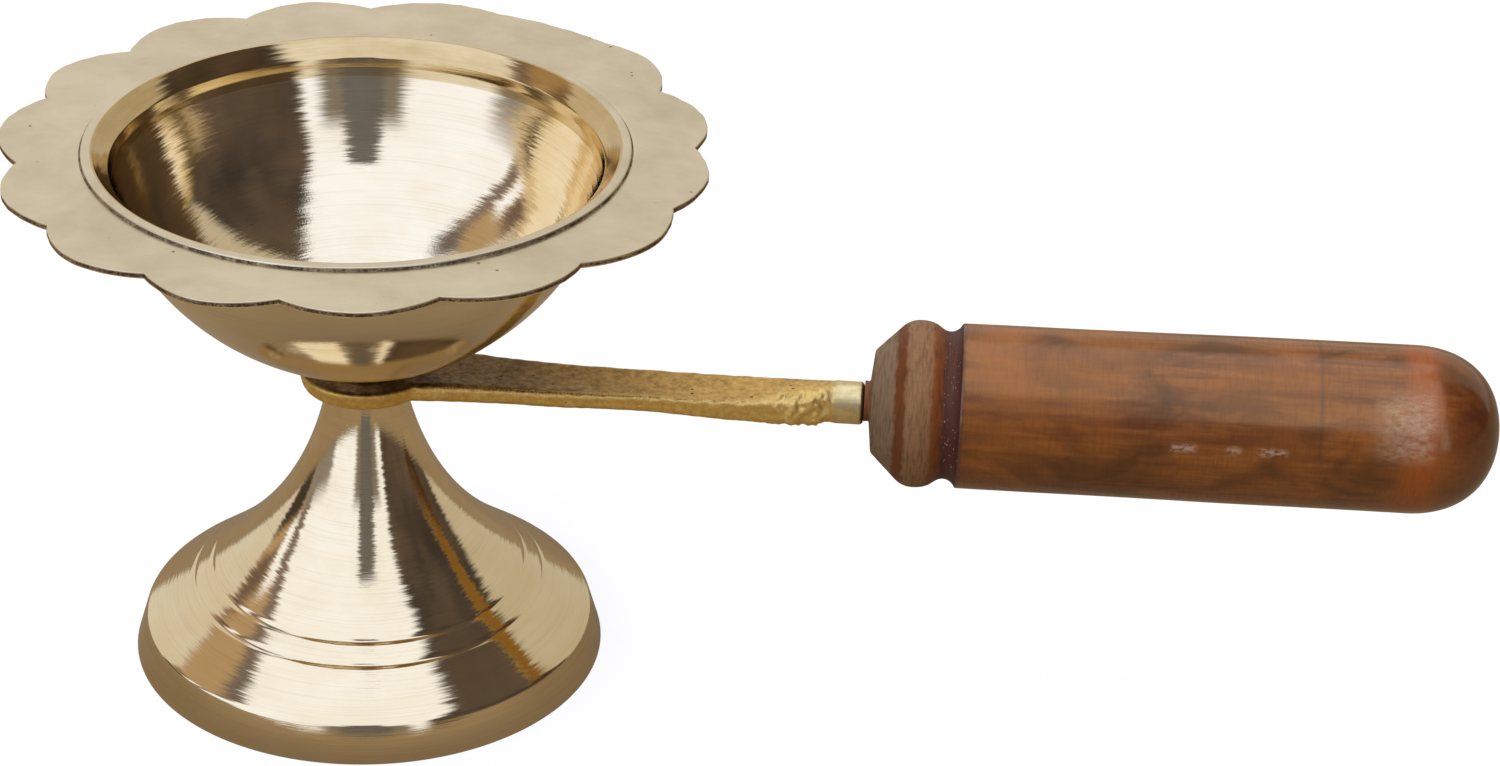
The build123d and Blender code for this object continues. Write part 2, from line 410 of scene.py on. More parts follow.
# Worn ridges and lump: rubbed brass with a painted highlight
ARM_WORN_AND_GLINT = (0.92, 0.66, 0.24)
ARM_PIT = (0.045, 0.03, 0.015)
# Dark line along a crease of the top, and painted shade of the gap at the collar's end
ARM_CREASE_AND_GAP_SHADE = (0.05, 0.026, 0.014)


def cast_arm_brass(name):
    """Sand-cast arm: stained top with painted shade of the bowl near it, rubbed sides, rubbed ridges and
    lump with a painted highlight, smooth filed collar, a dark crease line and painted shade at the collar's
    end.
    """
    g = Graph(name)
    place = g.place()
    filed = g.attribute("filed")
    cast = g.math("SUBTRACT", 1.0, filed)
    grain = g.noise(place, 1.1, 5.0, 0.6)
    sand = g.noise(place, 3.6, 3.0, 0.6)
    cloud = g.noise(place, 0.22, 4.0, 0.6, 0.5)
    pitted = g.pits(place, 0.5, (0.14, 0.07), 0.3, (0.52, 0.6))
    film = g.plus(grain, g.times(cloud, 0.7))
    filmed = g.range(film, 0.62, 1.02)
    # The stained top is darkest near the bowl, where painted shade of the bowl lies on it
    far = g.range(g.parts(place)[0], *ARM_TOP_SHADE_FADE)
    top = g.mix(far, g.mix(filmed, *ARM_TOP_NEAR_SHADED), g.mix(filmed, *ARM_TOP_FAR))
    colour = g.mix(g.attribute("stained"), g.mix(g.range(grain, 0.35, 0.65), *ARM_SIDE), top)
    # Worn ridges and lump: real rubbing with a painted highlight on them
    colour = g.mix(g.times(g.attribute("worn"), g.range(sand, 0.38, 0.58)), colour, ARM_WORN_AND_GLINT)
    colour = g.mix(filed, colour, g.mix(g.range(film, 0.7, 1.0), *ARM_FILED))
    colour = g.mix(g.times(pitted, cast), colour, ARM_PIT)
    # Painted shade of the gap at the collar's end, and a dark line along a crease of the top
    colour = g.mix(g.times(g.attribute("crease_line_and_gap_shade"), 0.85), colour, ARM_CREASE_AND_GAP_SHADE)
    rough = g.math("SUBTRACT", g.range(grain, 0.3, 0.7, 0.48, 0.36), g.times(filed, 0.08))
    height = g.math("SUBTRACT", g.plus(g.times(grain, 0.7), g.times(sand, 0.3)), pitted)
    height = g.times(height, g.math("SUBTRACT", 1.0, g.times(filed, 0.85)))
    return g.surface(Base_Color=colour, Metallic=0.95, Roughness=rough, Normal=g.bump(height, 0.2))


# Wood: tones by grain, then the tones of its blotches, bright drifts and marks
GRAIN_TONES = ((0.30, (0.125, 0.031, 0.008)), (0.50, (0.215, 0.062, 0.013)), (0.70, (0.29, 0.093, 0.019)))
BLOTCH_TONE = (0.078, 0.020, 0.007)
DRIFT_TONE = (0.345, 0.10, 0.014)
DOME_BAND_TONE = (0.31, 0.067, 0.011)
DOME_TONE = (0.10, 0.022, 0.007)
RING_TONE = (0.055, 0.02, 0.014)
HATCH_TONE = (0.03, 0.016, 0.010)
FIBRE_TONE = (0.04, 0.016, 0.008)
DUST_TONE = (0.46, 0.40, 0.37)
RUBBED_TONE = (0.52, 0.40, 0.27)
VARNISH_TINT = (1.0, 0.76, 0.42)
VARNISH_IOR = 1.65

# Places along the handle, in millimetres from the collar: from and to, or start and end of a fade
DOME_BAND = (79.5, 84.5)
DOME_FADE = (83.5, 90.0)
RING = (67.1, 67.7)
DUSTY_COVE = (11.6, 14.4)
DULL_FADE = (24.0, 58.0)
SCUFFS = ((45.3, 48.9), (53.5, 55.4), (58.2, 62.2))
SCUFF_HEIGHT = (1.7, 2.5)
SCUFF_FRONT = (-8.0, -9.0)

# Colours along the handle's turned shoulder: millimetres from the collar, colour
SHOULDER_COLOURS = (
    (0.0, (0.21, 0.077, 0.034)), (0.7, (0.21, 0.077, 0.034)), (1.0, (0.23, 0.146, 0.082)),
    (4.2, (0.23, 0.146, 0.082)), (4.7, (0.155, 0.043, 0.012)), (5.8, (0.155, 0.043, 0.012)),
    (6.3, (0.265, 0.135, 0.060)), (9.7, (0.265, 0.128, 0.054)), (10.2, (0.235, 0.065, 0.015)),
    (11.2, (0.20, 0.054, 0.015)), (11.9, (0.076, 0.024, 0.018)), (14.0, (0.076, 0.024, 0.018)),
)
SHOULDER_END = 14.6
SHOULDER_SPAN = 16.0
SHOULDER_SOFT = 0.3


def turned_wood(name, gloss, rough, lines):
    """Orange-brown turned wood under worn varnish; the bare shoulder has the same grain with less gloss."""
    g = Graph(name)
    place = g.place()
    x, y, z = g.parts(place)
    s = g.math("SUBTRACT", x, COLLAR_END)
    up = g.math("SUBTRACT", z, ARM_HEIGHT)

    def streaks(lengthwise, across, detail, rough=0.58, warp=0.0):
        """Noise by features per millimetre along the handle and across it."""
        return g.noise(g.stretched((x, y, z), (lengthwise, across, across)), 1.0, detail, rough, warp)

    drift = g.noise(place, 0.06, 2.0, 0.5)
    grain = streaks(0.05, 0.75, 4.0, warp=0.4)
    blotch = streaks(0.075, 0.15, 3.0, warp=0.6)
    fibre = streaks(0.45, 4.2, 2.0)
    hatch = streaks(3.0, 0.35, 3.0)
    chips = streaks(0.8, 1.7, 5.0, 0.68)

    colour = g.ramp(grain, GRAIN_TONES)
    colour = g.mix(g.range(blotch, 0.46, 0.62, 0.0, 0.82), colour, BLOTCH_TONE)
    colour = g.mix(g.range(drift, 0.50, 0.72, 0.0, 0.65), colour, DRIFT_TONE)
    colour = g.mix(g.between(s, *DOME_BAND, 1.5), colour, DOME_BAND_TONE)
    colour = g.mix(g.range(s, *DOME_FADE, 0.0, 0.70), colour, DOME_TONE)
    wavering = g.plus(s, g.times(drift, 0.8))
    ring = g.times(g.between(wavering, *RING, 0.25), g.range(up, 0.0, 3.0, 0.0, 0.4))
    colour = g.mix(ring, colour, RING_TONE)

    ragged = g.plus(s, g.range(g.noise(place, 0.7, 3.0), 0.2, 0.8, -0.35, 0.35))
    stops = [(at / SHOULDER_SPAN, tone) for at, tone in SHOULDER_COLOURS]
    shoulder = g.ramp(g.math("DIVIDE", ragged, SHOULDER_SPAN), stops)
    past = g.range(ragged, SHOULDER_END - SHOULDER_SOFT, SHOULDER_END + SHOULDER_SOFT)
    colour = g.mix(past, shoulder, colour)
    colour = g.mix(g.range(hatch, 0.46, 0.70, 0.0, lines), colour, g.mix(0.6, colour, HATCH_TONE))
    colour = g.mix(g.range(fibre, 0.55, 0.78, 0.0, 0.40), colour, g.mix(0.6, colour, FIBRE_TONE))
    dust = g.times(g.range(g.noise(place, 3.2, 2.0), 0.68, 0.74), g.between(s, *DUSTY_COVE, 0.3))
    colour = g.mix(dust, colour, DUST_TONE)

    rub = g.times(g.attribute("rubbed"), g.range(chips, 0.36, 0.66, 0.1, 0.75))
    for start, end in SCUFFS:
        band = g.times(g.between(s, start, end, 0.5), g.between(up, *SCUFF_HEIGHT, 0.5))
        front = g.times(band, g.range(y, *SCUFF_FRONT))
        rub = g.math("MAXIMUM", rub, g.times(front, g.range(chips, 0.44, 0.52)))
    colour = g.mix(g.times(rub, 0.7), colour, RUBBED_TONE)

    height = g.plus(g.times(fibre, -0.4), g.times(hatch, 0.35))
    dulled = g.range(g.plus(s, g.range(drift, 0.35, 0.65, -8.0, 8.0)), *DULL_FADE, 1.0, 0.0)
    worn = g.plus(g.range(hatch, 0.3, 0.7, rough, rough + 0.06), g.times(dulled, 0.10))
    return g.surface(
        Base_Color=colour, Roughness=worn, IOR=VARNISH_IOR, Specular_IOR_Level=gloss,
        Specular_Tint=VARNISH_TINT, Normal=g.bump(height, 0.015))


def drawn_metal(name, dark, light):
    """Plain cut or drawn metal for the stud and the tang."""
    g = Graph(name)
    film = g.noise(g.place(), 0.8, 4.0, 0.6)
    return g.surface(
        Base_Color=g.mix(g.range(film, 0.35, 0.7), dark, light), Metallic=1.0,
        Roughness=g.range(film, 0.3, 0.7, 0.28, 0.45), Normal=g.bump(film, 0.03))


FOOT_BRASS = turned_brass("turned_brass", -1.0, FOOT_TONES, FOOT_GLOSS)
BOWL_BRASS = turned_brass("bowl_brass", 1.0, BOWL_TONES, BOWL_GLOSS, PITTED_BELOW)
BEVEL_BRASS = turned_brass("bevel_brass", 1.0, BEVEL_TONES, BEVEL_GLOSS)
RIM_BRASS = satin_brass("rim_brass")
EDGE_BRASS = rough_brass("edge_brass", (0.10, 0.062, 0.036), (0.56, 0.43, 0.25), 2.6, 0.72, 1.0)
HOLLOW_BRASS = rough_brass("hollow_brass", (0.16, 0.10, 0.05), (0.42, 0.30, 0.13), 1.3, 0.6, 1.0)
ARM_BRASS = cast_arm_brass("cast_brass")
STUD_BRASS = drawn_metal("stud_brass", (0.60, 0.42, 0.18), (0.76, 0.58, 0.30))
TANG_STEEL = drawn_metal("tang_steel", (0.30, 0.28, 0.26), (0.46, 0.44, 0.42))
WOOD = turned_wood("varnished_wood", 0.68, 0.13, 0.4)
BARE_WOOD = turned_wood("bare_wood", 0.25, 0.42, 0.8)


def settle(obj, body, slot, node, *materials):
    """Puts a piece on its body in place of its solid."""
    for m in materials:
        obj.data.materials.append(m)
    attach(obj, body)
    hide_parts(node)


# Bell foot

STEM_RADIUS = 5.8
BAND_TOP = (34.5, 5.8)
BELL_CURVE = ((STEM_RADIUS, STEM_HEIGHT), (9.6, 24.2), (22.0, 15.3), BAND_TOP)
FOOT_RADIUS = 36.2
FOOT_INNER_RADIUS = 33.8
FOOT_WALL = 2.4
FOOT_SEGMENTS = 256
TAP_END = 30.4
GROOVE_HEIGHTS = (11.6, 14.0)
GROOVE_DEPTH = 0.16
GROOVE_HALF_WIDTH = 0.20
OUTSIDE_STEPS = 150
HOLLOW_STEPS = 60

# Steps of the curve that the rounded edges of stem and band take up, and the one where the hollow ends
STEM_EASE = 3
BAND_EASE = 2
CROWN_STEP = 25
CROWN_RISE = 1.2
CROWN_ROUND = (1.2, 1.0)


def groove_depth(z):
    return sum(GROOVE_DEPTH * max(0.0, 1 - abs(z - at) / GROOVE_HALF_WIDTH) for at in GROOVE_HEIGHTS)


def foot_mesh():
    """Bell with two turned grooves, hollow one wall in, from the tapped hole round to the crown."""
    outside = sunk(bezier(*BELL_CURVE, OUTSIDE_STEPS), groove_depth)
    inside = sunk(bezier(*BELL_CURVE, HOLLOW_STEPS), lambda z: FOOT_WALL)[:CROWN_STEP:-1]
    crown = inside[-1]
    profile = joined(
        eased([
            (0, TAP_END, 0), (TAP_RADIUS, TAP_END, 0), (TAP_RADIUS, STEM_HEIGHT, 0.25),
            (STEM_RADIUS, STEM_HEIGHT, 0.3), (*outside[STEM_EASE], 0),
        ]),
        outside[STEM_EASE:-BAND_EASE],
        eased([
            (*outside[-BAND_EASE - 1], 0), (*BAND_TOP, 0.35), (FOOT_RADIUS, 0.0, 0.3),
            (FOOT_INNER_RADIUS, 0.0, 0.3), (*inside[0], 0),
        ]),
        inside,
        eased([
            (*crown, 0), (crown[0] - CROWN_ROUND[0], crown[1] + CROWN_ROUND[1], 0.8),
            (0, crown[1] + CROWN_RISE, 0),
        ]),
    )
    ring = (FOOT_RADIUS + FOOT_INNER_RADIUS) / 2
    under_edge = next(i for i, (r, z) in enumerate(profile) if z < 0.05 and r < ring + 0.5)
    last_step = len(profile) - 2

    def slot(i):
        return 1 if last_step - i >= under_edge else 0

    return lathe("foot_bell", profile[::-1], FOOT_SEGMENTS, upright, slot)


settle(foot_mesh(), "foot", "turned_brass", "bell_foot", FOOT_BRASS, HOLLOW_BRASS)


# Bowl with its scalloped rim. Each lobe: angle and radius of the notch before it, radius of its crown.

LOBES = (
    (7.0, 48.7, 51.8), (31.0, 48.6, 53.4), (53.0, 52.7, 53.0), (75.0, 52.9, 54.3), (97.0, 51.0, 54.2),
    (119.5, 50.4, 54.1), (144.0, 49.7, 53.6), (168.0, 49.9, 53.2), (193.5, 49.6, 52.8), (218.0, 50.0, 52.8),
    (242.0, 49.4, 52.5), (265.5, 49.0, 52.2), (291.0, 48.8, 51.5), (317.0, 48.3, 51.4), (342.5, 48.9, 51.1),
)
LOBE_FULLNESS = 1.8
RIM_START = 40.6
RIM_REFERENCE = 52.5
RIM_ROUND = 0.2
RIM_UNDERSIDE = 83.5
SEGMENTS_PER_LOBE = 26
PAD_RADIUS = 6.6
PAD_TOP = 50.7
STUD_HOLE_TOP = 53.0
BELLY_START = 14.1
BELLY_PULL = 14.6
WAIST = (35.1, 74.9)
WAIST_LEAN = math.radians(17.8)
FLARE_PULL = 4.5
FLARE_BEND = (41.5, 82.45)
FLARE_END = (46.0, 82.9)
NECK = (36.1, 82.4)
STEP = (35.75, 80.9)
WALL_LEAN = math.radians(19.5)
WALL_PULL = 5.0
WALL_JOIN = 67.0
MOUTH = 38.4
LIP_FOOT = 40.0
LIP_TOP = 84.9
FLANGE_TOP = 84.4
BOWL_FLOOR = 54.1
BOWL_WALL = 1.5
FLOOR_FLAT = 5.0
FLOOR_ROUND = 1.2
OFF_CENTRE = -0.6
OFF_CENTRE_RISE = (PAD_TOP, PAD_TOP + 10.0)

# Points of the rim's edge, then of the lip from the flange up to its top and in to the mouth
RIM_FLAT = RIM_REFERENCE - 0.3
UNDER_RIM = (RIM_FLAT, RIM_UNDERSIDE - 0.03)
EDGE_LOW = (RIM_REFERENCE, RIM_UNDERSIDE + RIM_ROUND)
EDGE_HIGH = (RIM_REFERENCE, FLANGE_TOP - RIM_ROUND)
LIP_OUT = (LIP_FOOT + 0.22, FLANGE_TOP)
LIP_CORNER = (LIP_FOOT + 0.05, FLANGE_TOP - 0.05)
LIP_SIDE = (LIP_FOOT - 0.05, LIP_TOP - 0.2)
LIP_EDGE = (LIP_FOOT - 0.1, LIP_TOP)
LIP_IN = (MOUTH + 0.25, LIP_TOP)

# Unevenness of the rim: features per millimetre, and how far it moves the edge or the flange
EDGE_GRAIN = 0.55
EDGE_PUSH = 0.16
FLANGE_GRAIN_PUSH = 0.05
FLANGE_WAVE = 0.055
FLANGE_WAVE_PUSH = 0.22

# Material slots of the bowl
POLISHED, SATIN, CAST_EDGE, BEVELLED = range(4)


def lobe_angles():
    """Angles round the rim, in radians, with each notch on one of them."""
    out = []
    for i, lobe in enumerate(LOBES):
        ahead = LOBES[(i + 1) % len(LOBES)][0] + (360 if i + 1 == len(LOBES) else 0)
        for j in range(SEGMENTS_PER_LOBE):
            out.append(math.radians(lobe[0] + (ahead - lobe[0]) * j / SEGMENTS_PER_LOBE))
    return out


def rim_radius(step):
    """Radius of the scalloped edge at a step round the rim."""
    i, j = divmod(step, SEGMENTS_PER_LOBE)
    start = LOBES[i]
    after = LOBES[(i + 1) % len(LOBES)]
    u = j / SEGMENTS_PER_LOBE
    base = start[1] + (after[1] - start[1]) * u
    swell = start[2] - (start[1] + after[1]) / 2
    return base + swell * (1 - abs(2 * u - 1) ** LOBE_FULLNESS)


ANGLES = lobe_angles()
EDGES = [rim_radius(i) for i in range(len(ANGLES))]


def bowl_point(r, z, angle):
    """Point of the bowl: cast a little off its stud, and stretched outside the lip to the scalloped edge."""
    step = round(angle / (2 * math.pi) * len(ANGLES)) % len(ANGLES)
    a = ANGLES[step]
    shift = OFF_CENTRE * smooth(*OFF_CENTRE_RISE, z)
    if r > RIM_START:
        share = (r - RIM_START) / (RIM_REFERENCE - RIM_START)
        shift *= 1 - smooth(0.0, 0.8, share)
        r = RIM_START + (EDGES[step] - RIM_START) * share
        grain = noise.noise(upright(r, 3.0, a) * EDGE_GRAIN)
        r += EDGE_PUSH * grain * smooth(0.9, 1.0, share)
        wave = noise.noise(upright(r, 9.0, a) * FLANGE_WAVE)
        z += (FLANGE_WAVE_PUSH * wave + FLANGE_GRAIN_PUSH * grain) * smooth(0.0, 0.5, share)
    return upright(r, z, a) + Vector((shift, 0, 0))


def bowl_runs():
    """Stretches of the bowl's profile, each with its material, from the stud hole round to the floor."""
    pull = leaning(WAIST_LEAN, BELLY_PULL)
    under_waist = (WAIST[0] - pull[0], WAIST[1] - pull[1])
    belly = bezier((PAD_RADIUS, PAD_TOP), (BELLY_START, PAD_TOP), under_waist, WAIST, 64)
    rise = leaning(WAIST_LEAN, FLARE_PULL)
    flare = bezier(WAIST, (WAIST[0] + rise[0], WAIST[1] + rise[1]), FLARE_BEND, FLARE_END, 24)
    inside = []
    for p, q in zip(belly[:0:-1], belly[-2::-1]):
        k = BOWL_WALL / math.dist(p, q)
        inset = (p[0] - k * (p[1] - q[1]), p[1] + k * (p[0] - q[0]))
        if BOWL_FLOOR + 0.3 < inset[1] < WALL_JOIN:
            inside.append(inset)
    top, under = inside[:2]
    down = leaning(WALL_LEAN, WALL_PULL)
    up = leaning(math.atan2(top[0] - under[0], top[1] - under[1]), WALL_PULL)
    wall = bezier(STEP, (STEP[0] - down[0], STEP[1] - down[1]), (top[0] + up[0], top[1] + up[1]), top, 24)
    bottom = inside[-1]
    return (
        (eased([
            (0, STUD_HOLE_TOP, 0), (TAP_RADIUS, STUD_HOLE_TOP, 0), (TAP_RADIUS, EYE_TOP, 0.2),
            (PAD_RADIUS, EYE_TOP, 0.3), (PAD_RADIUS, PAD_TOP, 0.3), (*belly[2], 0),
        ]), POLISHED),
        (belly[2:], POLISHED),
        (flare, POLISHED),
        (straight(FLARE_END, UNDER_RIM, 4), POLISHED),
        (eased([(*UNDER_RIM, 0), (RIM_REFERENCE, RIM_UNDERSIDE, RIM_ROUND), (*EDGE_LOW, 0)]), POLISHED),
        (straight(EDGE_LOW, EDGE_HIGH, 2), CAST_EDGE),
        (eased([(*EDGE_HIGH, 0), (RIM_REFERENCE, FLANGE_TOP, RIM_ROUND), (RIM_FLAT, FLANGE_TOP, 0)]), SATIN),
        (straight((RIM_FLAT, FLANGE_TOP), LIP_OUT, 14), SATIN),
        # The lip's outer side takes the dark edge skin, which draws a thin dark line round the lip's foot.
        (eased([(*LIP_OUT, 0), (*LIP_CORNER, 0.1), (*LIP_SIDE, 0)]), CAST_EDGE),
        (eased([(*LIP_SIDE, 0), (*LIP_EDGE, 0.15), (*LIP_IN, 0)]), SATIN),
        (eased([
            (*LIP_IN, 0), (MOUTH, LIP_TOP, 0.2), (*NECK, 0.2), (*STEP, 0.2), (*wall[2], 0),
        ], 5), BEVELLED),
        (wall[2:], POLISHED),
        (inside, POLISHED),
        (eased([
            (*bottom, 0), (bottom[0] - FLOOR_ROUND, BOWL_FLOOR, 0.9),
            (FLOOR_FLAT, BOWL_FLOOR, 0), (0, BOWL_FLOOR, 0),
        ]), POLISHED),
    )


def bowl_mesh():
    runs = bowl_runs()
    profile = joined(*(points for points, _ in runs))
    marks = []
    for points, mark in runs:
        last = min(range(len(profile)), key=lambda i: math.dist(profile[i], points[-1]))
        marks += [mark] * (last - len(marks))
    return lathe("bowl_scalloped", profile, len(ANGLES), bowl_point, marks.__getitem__)


settle(bowl_mesh(), "bowl", "bowl_brass", "bowl", BOWL_BRASS, RIM_BRASS, EDGE_BRASS, BEVEL_BRASS)


# Threaded stud

STUD_IN_FOOT = 13.5
STUD_IN_BOWL = 4.2
STUD_LOW = STEM_HEIGHT - STUD_IN_FOOT
STUD_HIGH = EYE_TOP + STUD_IN_BOWL
THREAD_PITCH = 1.0
THREAD_DEPTH = 0.5
STUD_CHAMFER = 0.5
CHAMFER_LENGTH = 0.8
STUD_ROWS = 165
STUD_SEGMENTS = 40


def stud_mesh():
    """Rod with a real helical thread, chamfered and capped at both ends."""
    verts = [Vector((0, 0, STUD_LOW)) * MM]
    for i in range(STUD_ROWS):
        z = STUD_LOW + (STUD_HIGH - STUD_LOW) * i / (STUD_ROWS - 1)
        end = min(z - STUD_LOW, STUD_HIGH - z)
        for j in range(STUD_SEGMENTS):
            a = 2 * math.pi * j / STUD_SEGMENTS
            turn = (z / THREAD_PITCH - a / (2 * math.pi)) % 1.0
            depth = THREAD_DEPTH * abs(2 * turn - 1)
            chamfer = STUD_CHAMFER * max(0.0, 1 - end / CHAMFER_LENGTH)
            verts.append(upright(STUD_RADIUS - depth - chamfer * (1 - depth), z, a) * MM)
    verts.append(Vector((0, 0, STUD_HIGH)) * MM)
    faces = []
    for j in range(STUD_SEGMENTS):
        k = (j + 1) % STUD_SEGMENTS
        faces.append((0, 1 + k, 1 + j))
        last = 1 + (STUD_ROWS - 1) * STUD_SEGMENTS
        faces.append((last + j, last + k, len(verts) - 1))
        for i in range(STUD_ROWS - 1):
            a = 1 + i * STUD_SEGMENTS
            b = a + STUD_SEGMENTS
            faces.append((a + j, a + k, b + k, b + j))
    mesh = bpy.data.meshes.new("stud_threaded")
    mesh.from_pydata(verts, [], faces)
    return finished("stud_threaded", mesh, 50)


settle(stud_mesh(), "stud", "stud_brass", "bowl_stud", STUD_BRASS)


# Cast arm: the solid's own shape, remeshed fine and given its casting skin

ARM_VOXEL = 0.32
HALF_WIDTH = ((5.5, 6.6), (36.0, 4.7), (61.0, 3.7), (71.0, 3.15))
HALF_HEIGHT = ((5.5, 1.3), (36.0, 1.35), (61.0, 2.0), (71.0, 3.1))
ARM_SAG = 0.45
FRONT_BULGE = 0.9
UNDER_BULGE = 0.3
TOP_DISH = 0.22
CREASE_IN = 1.35

# Where a form of the arm starts and ends: reach from the lamp's axis for the eye, and X for the rest
EYE_FREE = (6.9, 8.2)
BAR_RISE = (9.0, 14.0)
SAG_RISE = (12.0, 32.0)
BULGE_RISE = (40.0, 57.0)
BULGE_FALL = (63.0, 70.0)
CREASE_FALL = (46.0, 60.0)
LUMP_RISE = (58.0, 66.0)
LUMP_FALL = (69.3, 70.8)
CAST_END = (69.5, 71.2)
FILED_RISE = (69.8, 71.4)
GAP_SHADE_RISE = (74.6, 75.1)

# Fades on the arm: by depth below its top, distance from a side or from the crease, Y, share of its half
# width or height, and how far a face looks up
TOP_EDGE = (-1.4, -0.3)
FRONT_EDGE = (1.2, 0.2)
BACK_EDGE = (1.0, 0.2)
LUMP_SIDE = (0.7, -2.3)
FRONT_FACE = (0.0, -0.9)
UNDER_FACE = (0.2, -0.8)
DISH_FACING = (0.5, 0.9)
STAIN_FACING = (0.35, 0.8)
CREASE_FACING = (0.6, 0.9)
CREASE_SIDE = (0.45, 0.1)
CREASE_BREAKS = (-0.3, 0.3)

# Casting skin: features per millimetre and shift of its slow, middle and fast unevenness
SKIN_NOISE = ((0.16, Vector((0, 0, 0))), (0.55, Vector((7, 0, 0))), (1.5, Vector((0, 5, 0))))

# How far the skin moves out: always, and by the slow, middle and fast unevenness
SKIN_PUSH = (0.0, 0.08, 0.05, 0.025)
FRONT_EDGE_PUSH = (0.16, 0.0, 0.16, 0.12)
BACK_EDGE_PUSH = (0.06, 0.0, 0.08, 0.0)
LUMP_PUSH = (0.25, 0.0, 0.50, 0.40)


def remeshed(node, voxel):
    """Fine even mesh of a CAD node's shape, as a new mesh."""
    source = linked("remesh_source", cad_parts[node].data.copy())
    mod = source.modifiers.new("remesh", "REMESH")
    mod.mode = "VOXEL"
    mod.voxel_size = voxel * MM
    depsgraph = bpy.context.evaluated_depsgraph_get()
    mesh = bpy.data.meshes.new_from_object(source.evaluated_get(depsgraph))
    bpy.data.objects.remove(source)
    return mesh


def arm_skin(p, n):
    """Where a point of the arm goes, and its marks there: worn with a painted highlight, stained top with
    painted shade near the bowl, filed, and a dark crease line with painted shade of the gap at the collar's
    end.
    """
    free = smooth(*EYE_FREE, math.hypot(p.x, p.y)) * (1 - smooth(*CAST_END, p.x))
    width = along(HALF_WIDTH, p.x)
    tall = along(HALF_HEIGHT, p.x)
    up = p.z - ARM_HEIGHT
    on_bar = smooth(*BAR_RISE, p.x)
    top_edge = smooth(*TOP_EDGE, up - tall) * on_bar
    near_front = smooth(*FRONT_EDGE, abs(p.y + width)) * top_edge
    near_back = smooth(*BACK_EDGE, abs(p.y - width)) * top_edge
    lump = smooth(*LUMP_RISE, p.x) * (1 - smooth(*LUMP_FALL, p.x)) * smooth(*LUMP_SIDE, p.y)
    slow, mid, fast = (noise.noise(p * scale + shift) for scale, shift in SKIN_NOISE)

    def uneven(always, by_slow, by_mid, by_fast):
        return always + by_slow * slow + by_mid * mid + by_fast * fast

    push = uneven(*SKIN_PUSH) + lump * uneven(*LUMP_PUSH)
    push += near_front * uneven(*FRONT_EDGE_PUSH) + near_back * uneven(*BACK_EDGE_PUSH)
    hollow = max(0.0, 1 - (p.y / width) ** 2) * on_bar * (1 - smooth(*LUMP_RISE, p.x))
    push -= TOP_DISH * smooth(*DISH_FACING, n.z) * hollow
    q = p + n * push * free
    swell = smooth(*BULGE_RISE, p.x) * (1 - smooth(*BULGE_FALL, p.x))
    q.y -= FRONT_BULGE * swell * smooth(*FRONT_FACE, p.y / width)
    q.z -= ARM_SAG * smooth(*SAG_RISE, p.x) + UNDER_BULGE * swell * smooth(*UNDER_FACE, up / tall)
    crease = smooth(*CREASE_SIDE, abs(p.y + width - CREASE_IN)) * smooth(*CREASE_FACING, n.z)
    crease *= on_bar * (1 - smooth(*CREASE_FALL, p.x)) * smooth(*CREASE_BREAKS, slow + mid)
    return q, {
        # worn carries real rubbing and a painted highlight on the ridges and lump
        "worn": min(1.0, (near_front + 0.4 * near_back + 0.9 * lump) * free),
        # stained marks the top, which also carries painted shade of the bowl near it
        "stained": smooth(*STAIN_FACING, n.z) * (1 - 0.8 * lump),
        "filed": smooth(*FILED_RISE, p.x),
        # painted shade of the gap at the collar's end, and a dark line along a crease of the top
        "crease_line_and_gap_shade": max(smooth(*GAP_SHADE_RISE, p.x), 0.8 * crease),
    }


def arm_mesh():
    mesh = remeshed("handle_arm", ARM_VOXEL)
    mesh.materials.clear()
    normals = [v.normal.copy() for v in mesh.vertices]
    marks = []
    for v, n in zip(mesh.vertices, normals):
        q, mark = arm_skin(v.co / MM, n)
        v.co = q * MM
        marks.append(mark)
    for name in marks[0]:
        marked(mesh, name, [mark[name] for mark in marks])
    return finished("arm_cast", mesh, 60)


settle(arm_mesh(), "arm", "cast_brass", "handle_arm", ARM_BRASS)


# Wooden handle: radius, and distance from the collar, of each place on its outline

BORE_END = 44.5
NIB = (3.1, 0.0)
NIB_END = (3.0, 0.8)
FACE_END = (7.7, 1.3)
SHOULDER_LOW = (9.0, 2.63)
SHOULDER_TOP = (11.5, 5.2)
BEAD_TOP = (12.6, 8.0)
COVE_BOTTOM = (11.1, 12.4)
COVE_RADIUS = 1.896
BODY_START = (12.4, 14.7)
BODY_END = (12.65, 81.7)
TIP = 94.7
BARE_END = 14.3
HANDLE_TILT = math.tan(math.radians(0.45))
HANDLE_SEGMENTS = 160

# What the curves of bead, cove, edge and dome are drawn towards, between the places above
BEAD_PULLS = ((12.23, 5.95), (12.6, 6.89))
COVE_PULLS = ((12.6, 10.9), (11.1, 10.9))
EDGE_PULLS = ((12.3, 14.1), (12.4, 14.3))
DOME_PULLS = ((12.65, 89.76), (7.84, TIP))

# Unevenness of the handle: features per millimetre along it and per radius round it, and how far it moves
HANDLE_WAVE_ALONG = 0.05
HANDLE_WAVE_ROUND = 1.1
HANDLE_WAVE_PUSH = 0.10
HANDLE_WAVE_RISE = (6.0, 9.0)

# Rubbed patch near the tip: rise and fall along the handle, and up its front as a share of the radius
RUBBED_RISE = (73.0, 79.0)
RUBBED_FALL = (82.5, 84.5)
RUBBED_LOW = (0.0, 0.25)
RUBBED_HIGH = (0.65, 0.9)
RUBBED_FRONT = (0.0, 0.3)


